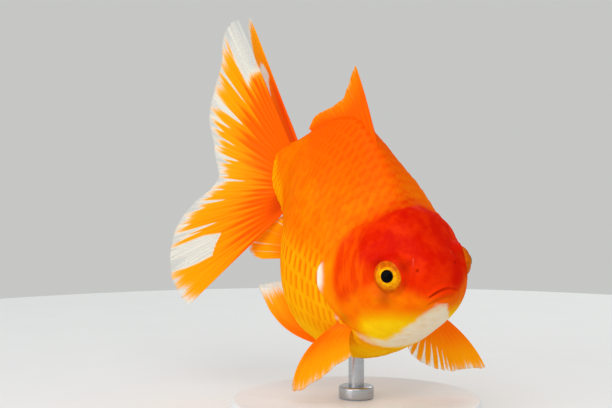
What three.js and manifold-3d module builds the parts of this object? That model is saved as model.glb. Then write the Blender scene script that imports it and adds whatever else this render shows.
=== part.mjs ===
// A fantail goldfish at life size, as a still museum model that swims nose-down on a plain stand.
// Units are millimetres, +Z is up and the fish heads along +X. The origin is the centre of the stand's underside.
//
// The fish is first shaped level, in its own frame (x to the snout, y to its left, z to its back), and
// the finished pieces are then turned into the swimming pose by one group.
import * as THREE from "three";
import { mergeVertices } from "three/addons/utils/BufferGeometryUtils.js";
import Module from "manifold-3d";

const wasm = await Module();
wasm.setup();

// ---------- Driving dimensions ----------
const BODY_LENGTH = 77; // snout to the end of the tail stalk
const SNOUT_X = 38.5; // the fish's own origin is halfway along the body
const JOINT_GAP = 0.3; // left between neighbouring pieces
const HEAD_CUT_X = 15; // the head is parted from the trunk just under the rear edge of the gill covers
const STALK_CUT_X = -25;
const EYE = {
  radius: 4.5,
  rim: 5.1, // radius of the orbit that holds it
  opening: 2.6, // how far out of the eye's centre the orbit is cut open
  window: 4.7, // radius of that cut
  place: [27.7, 8.8, 0.8], // the left eye
  facing: [0.36, 0.92, 0.16],
};
const MOUTH = { tipHeight: -1, droop: 0.35, depth: 6.5, width: 11 }; // the slit falls back from the snout
const FIN_EDGE = 0.5; // thickness of a fin at its margin
const GILL_COVER = {
  proud: 0.5, // over the body's surface
  depth: 1.9, // under it
  centre: [22.5, -3.5], // x and z of the plate's outline
  reach: [11, 15.5], // half its length and half its height
  front: 20.6, // where the plate joins the cheek
  width: 40, // of the cut that parts it, from its inmost place out past the flank
  inmost: 4,
};
const POSE = {
  noseDown: THREE.MathUtils.degToRad(18),
  roll: THREE.MathUtils.degToRad(7.5), // the left side is the higher one
  height: 50, // of the fish's own origin above the floor
  forward: 2.5, // of the fish's own origin from the stand's centre, so that the fish balances over it
};
const BASE = { radius: 32, height: 6, edge: 1 };
const ROD = { radius: 2, collarRadius: 4.5, collarHeight: 3, collarEdge: 0.6 };

// ---------- Helpers ----------
const v3 = (x, y, z) => new THREE.Vector3(x, y, z);

// A smooth function through [position, value] pairs, with no overshoot between them.
function smoothThrough(pairs) {
  const at = pairs.map((pair) => pair[0]);
  const value = pairs.map((pair) => pair[1]);
  const last = pairs.length - 1;
  const rise = at.slice(1).map((x, i) => (value[i + 1] - value[i]) / (x - at[i]));
  const slope = value.map((_, i) => {
    if (i === 0) return rise[0];
    if (i === last) return rise[last - 1];
    if (rise[i - 1] * rise[i] <= 0) return 0;
    return (2 * rise[i - 1] * rise[i]) / (rise[i - 1] + rise[i]);
  });
  return (x) => {
    const place = THREE.MathUtils.clamp(x, at[0], at[last]);
    let i = 0;
    while (i < last - 1 && place > at[i + 1]) i += 1;
    const width = at[i + 1] - at[i];
    const s = (place - at[i]) / width;
    const near = (1 + 2 * s) * (1 - s) ** 2 * value[i] + s * (1 - s) ** 2 * width * slope[i];
    const far = s * s * (3 - 2 * s) * value[i + 1] + s * s * (s - 1) * width * slope[i + 1];
    return near + far;
  };
}

// A closed triangle mesh from points and faces, as a solid.
function solidFrom(geometry) {
  const bare = geometry.clone();
  bare.deleteAttribute("normal");
  bare.deleteAttribute("uv");
  const merged = mergeVertices(bare, 1e-4);
  return new wasm.Manifold(
    new wasm.Mesh({
      numProp: 3,
      vertProperties: new Float32Array(merged.attributes.position.array),
      triVerts: new Uint32Array(merged.index.array),
    }),
  );
}

function solidOf(positions, index) {
  const geometry = new THREE.BufferGeometry();
  geometry.setAttribute("position", new THREE.BufferAttribute(new Float32Array(positions), 3));
  geometry.setIndex(index);
  return solidFrom(geometry);
}

function geometryFrom(solid) {
  const mesh = solid.getMesh();
  const geometry = new THREE.BufferGeometry();
  geometry.setAttribute("position", new THREE.BufferAttribute(new Float32Array(mesh.vertProperties), 3));
  geometry.setIndex(new THREE.BufferAttribute(new Uint32Array(mesh.triVerts), 1));
  geometry.computeVertexNormals();
  return geometry;
}

// The largest of the bodies that a cut has left, without any crumbs.
function largest(solid) {
  return solid.decompose().reduce((best, one) => (one.volume() > best.volume() ? one : best));
}

// The body bends to its right from the shoulder back, as one even arc, and runs straight behind the stalk.
const BEND = { start: 15, end: -38.5, angle: THREE.MathUtils.degToRad(6) };
function swimBend(point) {
  const curvature = BEND.angle / (BEND.start - BEND.end);
  const arc = THREE.MathUtils.clamp(BEND.start - point.x, 0, BEND.start - BEND.end);
  const past = Math.min(point.x - BEND.end, 0);
  const turn = curvature * arc;
  const ahead = Math.max(point.x - BEND.start, 0);
  return v3(
    BEND.start + ahead - Math.sin(turn) / curvature + past * Math.cos(turn) - point.y * Math.sin(turn),
    -(1 - Math.cos(turn)) / curvature + past * Math.sin(turn) + point.y * Math.cos(turn),
    point.z,
  );
}

// ---------- Body form ----------
// Along the body, 0 is the snout and 1 the end of the tail stalk. Heights are from the mouth-to-tail axis.
const backHeight = smoothThrough([
  [0, 1.5], [0.06, 5], [0.15, 9.3], [0.21, 12.6], [0.28, 14.4], [0.4, 21.6], [0.48, 25.6], [0.55, 28],
  [0.65, 26], [0.8, 18.5], [0.93, 11.5], [1, 10],
]);
const bellyHeight = smoothThrough([
  [0, -6], [0.05, -10.5], [0.13, -17], [0.25, -26], [0.4, -33], [0.5, -34], [0.6, -32.5], [0.72, -26.5],
  [0.86, -11.5], [0.95, -6.8], [1, -6],
]);
const halfWidth = smoothThrough([
  [0, 6.5], [0.06, 9], [0.15, 13.3], [0.28, 17], [0.42, 19.2],
  [0.54, 20.5], [0.62, 18.1], [0.72, 12.8], [0.86, 6.4], [1, 3],
]);
const widestHeight = smoothThrough([
  [0, -3], [0.2, -4], [0.45, -7.2], [0.6, -9], [0.8, -2], [1, 1],
]);
// How sharply the sections narrow to the back and to the belly; 1 is an ellipse.
const backNarrowing = smoothThrough([
  [0, 1], [0.15, 1.2], [0.22, 1.12], [0.3, 1.57], [0.4, 1.69], [0.5, 2], [0.7, 1.5], [1, 1.1],
]);
const bellyNarrowing = smoothThrough([[0, 1], [0.2, 0.9], [0.6, 1], [1, 1]]);
const BACK_ROUNDING = 0.4; // keeps the ridge of the back from closing to an edge
const SNOUT_ROUNDING = 0.085; // share of the length over which the snout closes
const STALK_ROUNDING = 0.03;
const RING_COUNT = 30;
const RING_POINTS = 28;

// How far the sections are open, from 0 at the closed ends to 1 along the body.
function openness(along) {
  const fromSnout = Math.min(along / SNOUT_ROUNDING, 1);
  const fromEnd = Math.min((1 - along) / STALK_ROUNDING, 1);
  return Math.sqrt(1 - (1 - fromSnout) ** 2) * Math.sqrt(1 - (1 - fromEnd) ** 2);
}

// A point of the body's surface. The angle runs from the back (0) over the right side, as seen from the tail.
function bodyPoint(along, angle, grow = 0) {
  const level = widestHeight(along);
  const open = openness(along);
  const upper = Math.cos(angle) > 0;
  const reach = upper ? backHeight(along) - level : level - bellyHeight(along);
  const narrowing = upper ? backNarrowing(along) : bellyNarrowing(along);
  const side = Math.abs(Math.sin(angle));
  const rounding = upper ? BACK_ROUNDING * side * (1 - side) ** 4 : 0;
  const y = -Math.sign(Math.sin(angle)) * (halfWidth(along) * (side ** narrowing + rounding) * open + grow * side);
  const z = level + Math.cos(angle) * (reach * open + grow);
  return v3(SNOUT_X - BODY_LENGTH * along, y, z);
}

// The whole body as one closed form. The rings stand closer together at the rounded ends.
function bodySolid(grow = 0) {
  const positions = [];
  const index = [];
  const tip = v3(SNOUT_X + grow, 0, widestHeight(0));
  const end = swimBend(v3(SNOUT_X - BODY_LENGTH - grow, 0, widestHeight(1)));
  positions.push(...tip.toArray(), ...end.toArray());
  for (let ring = 0; ring < RING_COUNT; ring += 1) {
    const share = (ring + 0.5) / RING_COUNT;
    const along = 0.5 - 0.5 * Math.cos(Math.PI * share);
    for (let step = 0; step < RING_POINTS; step += 1) {
      const point = swimBend(bodyPoint(along, (2 * Math.PI * step) / RING_POINTS, grow));
      positions.push(point.x, point.y, point.z);
    }
  }
  const at = (ring, step) => 2 + ring * RING_POINTS + (step % RING_POINTS);
  for (let step = 0; step < RING_POINTS; step += 1) {
    index.push(0, at(0, step), at(0, step + 1));
    index.push(1, at(RING_COUNT - 1, step + 1), at(RING_COUNT - 1, step));
    for (let ring = 0; ring < RING_COUNT - 1; ring += 1) {
      index.push(at(ring, step), at(ring + 1, step), at(ring, step + 1));
      index.push(at(ring, step + 1), at(ring + 1, step), at(ring + 1, step + 1));
    }
  }
  return solidOf(positions, index);
}

// ---------- Fins ----------
// A fan of rays. The root is a line from the leading to the trailing ray; "rays" holds directions across the
// fan, each after its share of the way from the leading ray; "bow" bends every ray by a share of its length,
// and "fade" takes that bend away, or turns it over, towards the trailing ray.
function finSolid({ root, rays, lengths, bow = [0, 0, 0], fade = 0, thickness = 1.4, count = 12, steps = 5 }) {
  const rayLength = smoothThrough(lengths);
  const direction = [1, 2, 3].map((axis) => smoothThrough(rays.map((ray) => [ray[0], ray[axis]])));
  const middle = (u, v) => {
    const toward = v3(direction[0](u), direction[1](u), direction[2](u)).normalize();
    const length = rayLength(u);
    return v3(...root[0]).lerp(v3(...root[1]), u)
      .addScaledVector(toward, length * v)
      .addScaledVector(v3(...bow), length * v * (1 - v) * (1 - fade * u));
  };
  const normal = (u, v) => {
    const alongFan = middle(Math.min(u + 0.02, 1), v + 0.02).sub(middle(Math.max(u - 0.02, 0), v + 0.02));
    const alongRay = middle(u, v + 0.02).sub(middle(u, v));
    return alongFan.cross(alongRay).normalize();
  };
  const positions = [];
  const index = [];
  for (const face of [1, -1]) {
    for (let i = 0; i <= count; i += 1) {
      for (let j = 0; j <= steps; j += 1) {
        const [u, v] = [i / count, j / steps];
        const half = THREE.MathUtils.lerp(thickness, FIN_EDGE, Math.min(1, 1.4 * v)) / 2;
        const point = swimBend(middle(u, v).addScaledVector(normal(u, v), face * half));
        positions.push(point.x, point.y, point.z);
      }
    }
  }
  const at = (face, i, j) => face * (count + 1) * (steps + 1) + i * (steps + 1) + j;
  const quad = (a, b, c, d) => index.push(a, b, c, a, c, d);
  for (let i = 0; i < count; i += 1) {
    for (let j = 0; j < steps; j += 1) {
      quad(at(0, i, j), at(0, i + 1, j), at(0, i + 1, j + 1), at(0, i, j + 1));
      quad(at(1, i, j), at(1, i, j + 1), at(1, i + 1, j + 1), at(1, i + 1, j));
    }
    quad(at(0, i, steps), at(0, i + 1, steps), at(1, i + 1, steps), at(1, i, steps));
    quad(at(0, i + 1, 0), at(0, i, 0), at(1, i, 0), at(1, i + 1, 0));
  }
  for (let j = 0; j < steps; j += 1) {
    quad(at(0, 0, j), at(0, 0, j + 1), at(1, 0, j + 1), at(1, 0, j));
    quad(at(0, count, j + 1), at(0, count, j), at(1, count, j), at(1, count, j + 1));
  }
  return solidOf(positions, index);
}

// The same fin on the fish's other side.
function mirrored(fin) {
  const flip = ([x, y, z]) => [x, -y, z];
  const flipRay = ([share, x, y, z]) => [share, x, -y, z];
  return { ...fin, root: fin.root.map(flip), rays: fin.rays.map(flipRay), bow: flip(fin.bow ?? [0, 0, 0]) };
}

// Fins of the left side. The pectorals beat separately, so the right one is given by itself.
const TAIL = {
  root: [[-31, 1.2, 10.5], [-33, 1.4, -8.6]],
  rays: [
    [0, -0.67, 0.02, 0.74], [0.18, -0.81, 0.1, 0.57], [0.38, -0.93, 0.28, 0.22],
    [0.54, -0.87, 0.47, -0.12], [0.74, -0.7, 0.58, -0.42], [1, -0.42, 0.5, -0.785],
  ],
  lengths: [
    [0, 38.5], [0.05, 39.9], [0.1, 39.8], [0.2, 34.8], [0.35, 30.2], [0.45, 24.2], [0.54, 21], [0.6, 22.5],
    [0.66, 28], [0.8, 37], [0.92, 40.5], [1, 40],
  ],
  thickness: 2, count: 19, steps: 6,
};
const PELVIC = {
  root: [[0, 7.5, -32], [-8, 6, -30.5]],
  rays: [[0, -0.92, 0.23, 0.21], [0.5, -0.88, 0.25, 0.38], [1, -0.78, 0.22, 0.57]],
  lengths: [[0, 26], [0.25, 26], [0.5, 22], [1, 16]],
  bow: [0, 0.36, -0.38],
};
const ANAL = {
  root: [[-22, 2, -17.5], [-28, 1.5, -10.5]],
  rays: [[0, -0.93, 0.18, -0.36], [0.25, -0.95, 0.17, -0.3], [0.5, -0.99, 0.1, -0.1], [1, -1, 0.07, 0.1]],
  lengths: [[0, 18], [0.15, 21.4], [0.3, 20.8], [0.5, 17.8], [0.8, 10.4], [1, 3.6]],
  count: 10,
};
const PECTORAL_LEFT = {
  root: [[16.8, 12.6, -18.5], [15, 11, -21.5]],
  rays: [[0, 0.16, 0.64, -0.76], [0.25, 0.06, 0.43, -0.9], [0.5, 0.05, 0.32, -0.96], [1, -0.31, -0.27, -0.9]],
  lengths: [[0, 24.3], [0.15, 21.2], [0.4, 19.2], [0.7, 15.3], [1, 9.5]],
  bow: [0.06, 0.18, 0.16],
  fade: 1.2,
};
const PECTORAL_RIGHT = {
  root: [[16.5, -13.5, -15], [19.5, -13.3, -15.5]],
  rays: [[0, -0.32, -0.45, -0.85], [0.5, -0.24, -0.3, -0.93], [1, -0.02, 0, -1]],
  lengths: [[0, 23.4], [0.06, 24.6], [0.15, 25.4], [0.28, 24.2], [0.45, 20.5], [0.58, 17], [0.75, 12.4], [1, 9]],
  bow: [-0.26, -0.34, 0.19],
};
const DORSAL = {
  root: [[4.5, 0, 23.3], [-24, 0, 17.5]],
  rays: [[0, -0.56, 0, 0.83], [0.5, -0.85, 0, 0.5], [1, -0.95, 0, 0.3]],
  lengths: [[0, 21.6], [0.04, 20.2], [0.09, 17.9], [0.155, 15.8], [0.23, 13.3], [0.35, 11.8], [0.7, 8.2], [1, 1.6]],
  bow: [0.1, 0, 0.07],
  count: 16, steps: 4,
};

// ---------- Flesh ----------
const body = bodySolid();
const bodyGrown = bodySolid(JOINT_GAP);

// Everything ahead of a plane across the fish.
function ahead(x) {
  return solidFrom(new THREE.BoxGeometry(200, 200, 200).translate(x + 100, 0, 0));
}

// The side plate's outline, drawn through the fish from one flank outwards.
function gillRegion(sign, spare) {
  const outline = new THREE.CylinderGeometry(1, 1, GILL_COVER.width, 28).toNonIndexed();
  outline.scale(GILL_COVER.reach[0] + spare, 1, GILL_COVER.reach[1] + spare);
  const middle = GILL_COVER.width / 2 + GILL_COVER.inmost;
  outline.translate(GILL_COVER.centre[0], sign * middle, GILL_COVER.centre[1]);
  return solidFrom(outline).subtract(ahead(GILL_COVER.front + spare));
}
function gillCover(sign) {
  const shell = bodySolid(GILL_COVER.proud).subtract(bodySolid(-GILL_COVER.depth));
  return shell.intersect(gillRegion(sign, 0));
}
function gillRecess(sign) {
  return gillRegion(sign, JOINT_GAP).subtract(bodySolid(-GILL_COVER.depth - JOINT_GAP));
}

function ball(radius, sign) {
  const [x, y, z] = EYE.place;
  return solidFrom(new THREE.SphereGeometry(radius, 16, 9).rotateX(Math.PI / 2).translate(x, sign * y, z));
}
function eyeWindow(sign) {
  const reach = 8;
  const opening = new THREE.CylinderGeometry(EYE.window, EYE.window, reach, 24);
  const [fx, fy, fz] = EYE.facing;
  const facing = v3(fx, sign * fy, fz).normalize();
  opening.translate(0, EYE.opening + reach / 2, 0);
  opening.applyQuaternion(new THREE.Quaternion().setFromUnitVectors(v3(0, 1, 0), facing));
  const [x, y, z] = EYE.place;
  return solidFrom(opening.translate(x, sign * y, z));
}

// The wedge under the mouth slit, back to where the lower jaw hinges.
function jawWedge(spare) {
  const height = 60;
  const wedge = new THREE.BoxGeometry(height, MOUTH.width + 2 * spare, height);
  wedge.translate(height / 2 - MOUTH.depth - spare, 0, spare - height / 2);
  wedge.rotateY(-MOUTH.droop);
  wedge.translate(SNOUT_X, 0, MOUTH.tipHeight);
  return solidFrom(wedge);
}

let recessed = body.add(ball(EYE.rim, 1)).add(ball(EYE.rim, -1));
for (const sign of [1, -1]) {
  const socket = ball(EYE.radius + JOINT_GAP, sign).add(eyeWindow(sign));
  recessed = recessed.subtract(socket).subtract(gillRecess(sign));
}
const headEnd = recessed.intersect(ahead(HEAD_CUT_X));
const head = headEnd.subtract(jawWedge(JOINT_GAP));
const jaw = headEnd.intersect(jawWedge(0));
const rest = recessed.subtract(ahead(HEAD_CUT_X - JOINT_GAP));
const trunk = rest.intersect(ahead(STALK_CUT_X));
const stalk = rest.subtract(ahead(STALK_CUT_X - JOINT_GAP));

// ---------- Assembly ----------
const COLOUR = { red: 0xe83204, orange: 0xfb7a03, fin: 0xf89a06, eye: 0x1b1410, base: 0xe6e4e0, steel: 0xb9bcc0 };
const model = new THREE.Group();
const fish = new THREE.Group();
fish.rotation.set(POSE.roll, POSE.noseDown, 0, "YXZ");
fish.position.set(POSE.forward, 0, POSE.height);
fish.updateMatrix();
model.add(fish);

function add(group, name, solid, color, roughness = 0.45, metalness = 0) {
  const material = new THREE.MeshStandardMaterial({ color, roughness, metalness });
  const mesh = new THREE.Mesh(geometryFrom(largest(solid)), material);
  mesh.name = name;
  group.add(mesh);
}

const platesGrown = bodySolid(GILL_COVER.proud + JOINT_GAP)
  .intersect(gillRegion(1, JOINT_GAP).add(gillRegion(-1, JOINT_GAP)));
const flesh = bodyGrown.add(platesGrown);
const clearOfBody = (fin) => finSolid(fin).subtract(flesh);
add(fish, "head", head, COLOUR.red);
add(fish, "lower_jaw", jaw, COLOUR.red);
add(fish, "trunk", trunk, COLOUR.orange);
add(fish, "tail_stalk", stalk, COLOUR.orange);
add(fish, "dorsal_fin", clearOfBody(DORSAL), COLOUR.fin);
for (const [side, sign] of [["left", 1], ["right", -1]]) {
  const facing = (fin) => (sign > 0 ? fin : mirrored(fin));
  add(fish, `gill_cover_${side}`, gillCover(sign), COLOUR.red);
  add(fish, `eye_${side}`, ball(EYE.radius, sign), COLOUR.eye, 0.1);
  add(fish, `tail_fin_${side}`, clearOfBody(facing(TAIL)), COLOUR.fin);
  add(fish, `pelvic_fin_${side}`, clearOfBody(facing(PELVIC)), COLOUR.fin);
  add(fish, `anal_fin_${side}`, clearOfBody(facing(ANAL)), COLOUR.fin);
  add(fish, `pectoral_fin_${side}`, clearOfBody(sign > 0 ? PECTORAL_LEFT : PECTORAL_RIGHT), COLOUR.fin);
}

// ---------- Stand ----------
function turned(profile, segments) {
  const outline = profile.map(([radius, height]) => new THREE.Vector2(radius, height));
  return solidFrom(new THREE.LatheGeometry(outline, segments).rotateX(Math.PI / 2));
}
const base = turned([
  [0, 0],
  [BASE.radius - BASE.edge, 0],
  [BASE.radius, BASE.edge],
  [BASE.radius, BASE.height - BASE.edge],
  [BASE.radius - BASE.edge, BASE.height],
  [0, BASE.height],
], 40);
const collarFoot = BASE.height + JOINT_GAP;
const collar = turned([
  [ROD.radius + JOINT_GAP, collarFoot],
  [ROD.collarRadius, collarFoot],
  [ROD.collarRadius, collarFoot + ROD.collarHeight - ROD.collarEdge],
  [ROD.collarRadius - ROD.collarEdge, collarFoot + ROD.collarHeight],
  [ROD.radius + JOINT_GAP, collarFoot + ROD.collarHeight],
  [ROD.radius + JOINT_GAP, collarFoot],
], 20);
// The rod runs up to the belly and takes its slope, a joint's width short of it.
const posedFlesh = flesh.transform(fish.matrix.toArray());
const rod = turned([[0, collarFoot], [ROD.radius, collarFoot], [ROD.radius, POSE.height], [0, POSE.height]], 16);
add(model, "stand_base", base, COLOUR.base, 0.6);
add(model, "stand_collar", collar, COLOUR.steel, 0.3, 1);
add(model, "stand_rod", rod.subtract(posedFlesh), COLOUR.steel, 0.3, 1);

export default model;
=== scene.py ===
import math

import bpy
import numpy as np
from mathutils import Matrix, Vector


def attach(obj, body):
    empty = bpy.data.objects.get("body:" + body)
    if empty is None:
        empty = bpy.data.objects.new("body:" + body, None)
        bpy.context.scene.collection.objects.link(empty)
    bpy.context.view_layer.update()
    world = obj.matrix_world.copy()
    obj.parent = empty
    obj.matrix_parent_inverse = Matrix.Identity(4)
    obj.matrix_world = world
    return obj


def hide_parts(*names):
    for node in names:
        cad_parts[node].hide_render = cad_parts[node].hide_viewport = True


# %% [markdown]
# # A fantail goldfish on a display stand
# The fish swims nose-down, banked a little and bent a little to its right. A short steel rod holds it over
# a disc. The frame gives every part at its real size. This script gives each part the form and finish of
# the living fish: one skin with a modelled head, solid scales that lie on it, thin rayed fins, deep eyes
# and a clean stand.

# %% Load the frame and keep its box
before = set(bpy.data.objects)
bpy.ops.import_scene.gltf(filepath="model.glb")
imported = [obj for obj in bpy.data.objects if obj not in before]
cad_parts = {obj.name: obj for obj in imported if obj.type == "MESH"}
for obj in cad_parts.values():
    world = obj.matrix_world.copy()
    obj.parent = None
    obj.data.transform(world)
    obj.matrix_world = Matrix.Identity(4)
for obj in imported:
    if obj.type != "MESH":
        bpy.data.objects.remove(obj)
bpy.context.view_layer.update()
bpy.ops.object.select_all(action="DESELECT")
MM = 0.001

# %% [markdown]
# ## The body's form
# A fish's body could be sculpted by eye, but then the scales would have nothing exact to lie on. Here the
# outline from above, from the side and across is a set of smooth curves, the same ones that the solids were
# made from. A place on the body is then two numbers: how far along it is, and how far round from the back
# to the belly.

# %% Curves through named stations
BODY_LENGTH = 77.0
SNOUT_X = 38.5


def smooth_through(pairs):
    """A smooth function through (position, value) pairs, with no overshoot between them."""
    at = np.array([pair[0] for pair in pairs], float)
    value = np.array([pair[1] for pair in pairs], float)
    steps = np.diff(value) / np.diff(at)
    slope = np.zeros(len(at))
    slope[0], slope[-1] = steps[0], steps[-1]
    for i in range(1, len(at) - 1):
        if steps[i - 1] * steps[i] > 0:
            slope[i] = 2 * steps[i - 1] * steps[i] / (steps[i - 1] + steps[i])

    def curve(x):
        x = np.clip(x, at[0], at[-1])
        i = np.clip(np.searchsorted(at, x, side="right") - 1, 0, len(at) - 2)
        width = at[i + 1] - at[i]
        s = (x - at[i]) / width
        near = (1 + 2 * s) * (1 - s) ** 2 * value[i] + s * (1 - s) ** 2 * width * slope[i]
        far = s * s * (3 - 2 * s) * value[i + 1] + s * s * (s - 1) * width * slope[i + 1]
        return near + far

    return curve


back_height = smooth_through([
    (0, 1.5), (0.06, 5), (0.15, 9.3), (0.21, 12.6), (0.28, 14.4), (0.4, 21.6), (0.48, 25.6),
    (0.55, 28), (0.65, 26), (0.8, 18.5), (0.93, 11.5), (1, 10)])
belly_height = smooth_through([
    (0, -6), (0.05, -10.5), (0.13, -17), (0.25, -26), (0.4, -33), (0.5, -34),
    (0.6, -32.5), (0.72, -26.5), (0.86, -11.5), (0.95, -6.8), (1, -6)])
half_width = smooth_through([
    (0, 6.5), (0.06, 9), (0.15, 13.3), (0.28, 17), (0.42, 19.2),
    (0.54, 20.5), (0.62, 18.1), (0.72, 12.8), (0.86, 6.4), (1, 3)])
widest_height = smooth_through([(0, -3), (0.2, -4), (0.45, -7.2), (0.6, -9), (0.8, -2), (1, 1)])
back_narrowing = smooth_through([
    (0, 1), (0.15, 1.2), (0.22, 1.12), (0.3, 1.57), (0.4, 1.69), (0.5, 2), (0.7, 1.5), (1, 1.1)])
belly_narrowing = smooth_through([(0, 1), (0.2, 0.9), (0.6, 1), (1, 1)])
BACK_ROUNDING = 0.4  # keeps the ridge of the back from closing to an edge
SNOUT_ROUNDING = 0.085
STALK_ROUNDING = 0.03
print("body stations set, length", BODY_LENGTH, "mm")


# %% A point of the body from its two numbers
def openness(along):
    """How far a ring is open: 1 along the body, closing to 0 at the snout and at the stalk's end."""
    from_snout = np.minimum(along / SNOUT_ROUNDING, 1)
    from_end = np.minimum((1 - along) / STALK_ROUNDING, 1)
    return np.sqrt(1 - (1 - from_snout) ** 2) * np.sqrt(np.maximum(1 - (1 - from_end) ** 2, 0))


def body_section(along, angle):
    """A place on the level, unbent body, in mm; the angle runs from the back (0) to the belly (pi)."""
    level = widest_height(along)
    open_share = openness(along)
    upper = np.cos(angle) > 0
    reach = np.where(upper, back_height(along) - level, level - belly_height(along))
    narrowing = np.where(upper, back_narrowing(along), belly_narrowing(along))
    side = np.abs(np.sin(angle))
    rounding = np.where(upper, BACK_ROUNDING * side * (1 - side) ** 4, 0)
    out = half_width(along) * (side**narrowing + rounding) * open_share
    up = level + np.cos(angle) * reach * open_share
    return np.stack([SNOUT_X - BODY_LENGTH * along + 0 * angle, out, up], -1)


ALONG_FIRST, ALONG_LAST = 0.0004, 0.9996
along_grid = np.linspace(ALONG_FIRST, ALONG_LAST, 320)
share_grid = np.linspace(0, 1, 181)
angle_grid = np.linspace(0, math.pi, 361)
# Each ring is measured, so that a share around the body can be turned into the angle that lies there.
rings = body_section(along_grid[:, None], angle_grid[None, :])
ring_steps = np.linalg.norm(np.diff(rings, axis=1), axis=-1)
girth = np.concatenate([np.zeros((len(along_grid), 1)), np.cumsum(ring_steps, axis=1)], axis=1)
angle_table = np.array([np.interp(share_grid, row / row[-1], angle_grid) for row in girth])


def on_body(along, around):
    """The body's surface; around is 0 at the back and 1 at the belly on the left side, -1 on the right."""
    wrapped = (around + 1) % 2 - 1
    across = np.abs(wrapped) * (len(share_grid) - 1)
    down = (np.clip(along, ALONG_FIRST, ALONG_LAST) - ALONG_FIRST) / (ALONG_LAST - ALONG_FIRST)
    down = down * (len(along_grid) - 1)
    i = np.minimum(down.astype(int), len(along_grid) - 2)
    j = np.minimum(across.astype(int), len(share_grid) - 2)
    s, t = down - i, across - j
    angle = ((1 - s) * ((1 - t) * angle_table[i, j] + t * angle_table[i, j + 1])
             + s * ((1 - t) * angle_table[i + 1, j] + t * angle_table[i + 1, j + 1]))
    place = body_section(along, angle)
    place[..., 1] *= np.sign(wrapped)
    return place


print("girth at the deepest place:", round(float(2 * girth[:, -1].max()), 1), "mm")

# %% [markdown]
# ## The pose
# The level fish is bent as one even arc and then turned nose-down and banked, exactly as the solids are.
# Keeping the level place of every point as well gives the markings and the scales a frame that swims with
# the fish.

# %% Bend and pose
BEND_START, BEND_END, BEND_ANGLE = 15.0, -38.5, math.radians(6)
NOSE_DOWN, ROLL = math.radians(18), math.radians(7.5)
FISH_PLACE = np.array([2.5, 0.0, 50.0])


def swim_bend(place):
    """Bends the level fish sideways, as one arc from behind the head to the end of the stalk."""
    x, y, z = place[..., 0], place[..., 1], place[..., 2]
    curvature = BEND_ANGLE / (BEND_START - BEND_END)
    arc = np.clip(BEND_START - x, 0, BEND_START - BEND_END)
    past = np.minimum(x - BEND_END, 0)
    turn = curvature * arc
    ahead = np.maximum(x - BEND_START, 0)
    return np.stack([
        BEND_START + ahead - np.sin(turn) / curvature + past * np.cos(turn) - y * np.sin(turn),
        -(1 - np.cos(turn)) / curvature + past * np.sin(turn) + y * np.cos(turn),
        z], -1)


fish_turn = np.array(Matrix.Rotation(NOSE_DOWN, 3, "Y") @ Matrix.Rotation(ROLL, 3, "X"))


def posed(place):
    """From the level fish in mm to the frame in metres."""
    return (swim_bend(place) @ fish_turn.T + FISH_PLACE) * MM


print("snout at", np.round(posed(np.array([SNOUT_X, 0.0, -3.0])), 4))


# %% Small tools for shapes
def rise(low, high, x):
    """0 below low, 1 above high, smooth between; it falls instead when high is below low."""
    t = np.clip((x - low) / (high - low), 0, 1)
    return t * t * (3 - 2 * t)


def hump(distance, width):
    """1 where the distance is 0, falling off on both sides like a bell."""
    return np.exp(-((distance / width) ** 2))


def coords(obj, what="co"):
    """The places of a mesh's vertices, or their normals."""
    flat = np.empty(len(obj.data.vertices) * 3)
    obj.data.vertices.foreach_get(what, flat)
    return flat.reshape(-1, 3)


def set_coords(obj, points):
    obj.data.vertices.foreach_set("co", np.ascontiguousarray(points, float).ravel())
    obj.data.update()


def set_values(obj, name, values):
    """One number for each vertex, kept on the mesh under a name that the materials read."""
    layer = obj.data.attributes.new(name, "FLOAT", "POINT")
    layer.data.foreach_set("value", np.ascontiguousarray(values, np.float32))


def only(obj):
    """Selects this object alone, because an operator acts on all that is selected."""
    bpy.ops.object.select_all(action="DESELECT")
    obj.select_set(True)
    bpy.context.view_layer.objects.active = obj


def outward(obj):
    """Turns the faces outwards."""
    only(obj)
    bpy.ops.object.mode_set(mode="EDIT")
    bpy.ops.mesh.select_all(action="SELECT")
    bpy.ops.mesh.normals_make_consistent(inside=False)
    bpy.ops.object.mode_set(mode="OBJECT")


def finish_piece(obj, name, material, nodes):
    """Gives a piece its name and material, and says what it rides on and the nodes it replaces."""
    obj.name = name
    obj.data.name = name
    obj.data.materials.clear()
    obj.data.materials.append(material)
    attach(obj, "root")
    if nodes:
        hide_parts(*nodes)
    bpy.ops.object.select_all(action="DESELECT")
    print(name, "-", len(obj.data.polygons), "faces")


print("shape tools ready")

# %% [markdown]
# ## Lines of the head
# A goldfish's head is smooth skin over bone: the gill cover ends in a free edge, the nostril is a pit with
# a small flap, and the mouth is a short arch with a lip above and below. Each is a line or a spot at a
# named place on the level fish, and the same lines raise the skin, start the scales and carry the colours,
# so the three agree.

# %% Lines and spots of the head
COAT = 0.42  # depth of the scale coat
NAPE_X, NAPE_LEVEL = 18.3, 8
BREAST_X, BREAST_LEVEL = 19.6, -17
MOUTH_HEIGHT, MOUTH_ARCH = -0.15, 0.09
NOSTRIL_FRONT, NOSTRIL_BACK = (32.9, 5.4, 3.7), (30.7, 6.3, 4.6)
FLAP_TOP, FLAP_FOOT = np.array([30.6, 5.3, 5.7]), np.array([32.9, 6.8, 2.4])
FLAP_WIDTH = 0.42
gill_edge = smooth_through([
    (-19, 22.5), (-17, 19.6), (-14, 16.4), (-10.5, 12.6), (-7, 9.8),
    (-3.5, 9.6), (0.5, 11.4), (5, 12.8), (11, 16)])


def scale_start(y, z):
    """Where along the fish the scales begin: the nape, the free edge of the gill cover, or the breast."""
    nape = NAPE_X - 0.03 * y**2
    return np.where(z > NAPE_LEVEL, nape, np.where(z > BREAST_LEVEL, gill_edge(z), BREAST_X))


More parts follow.
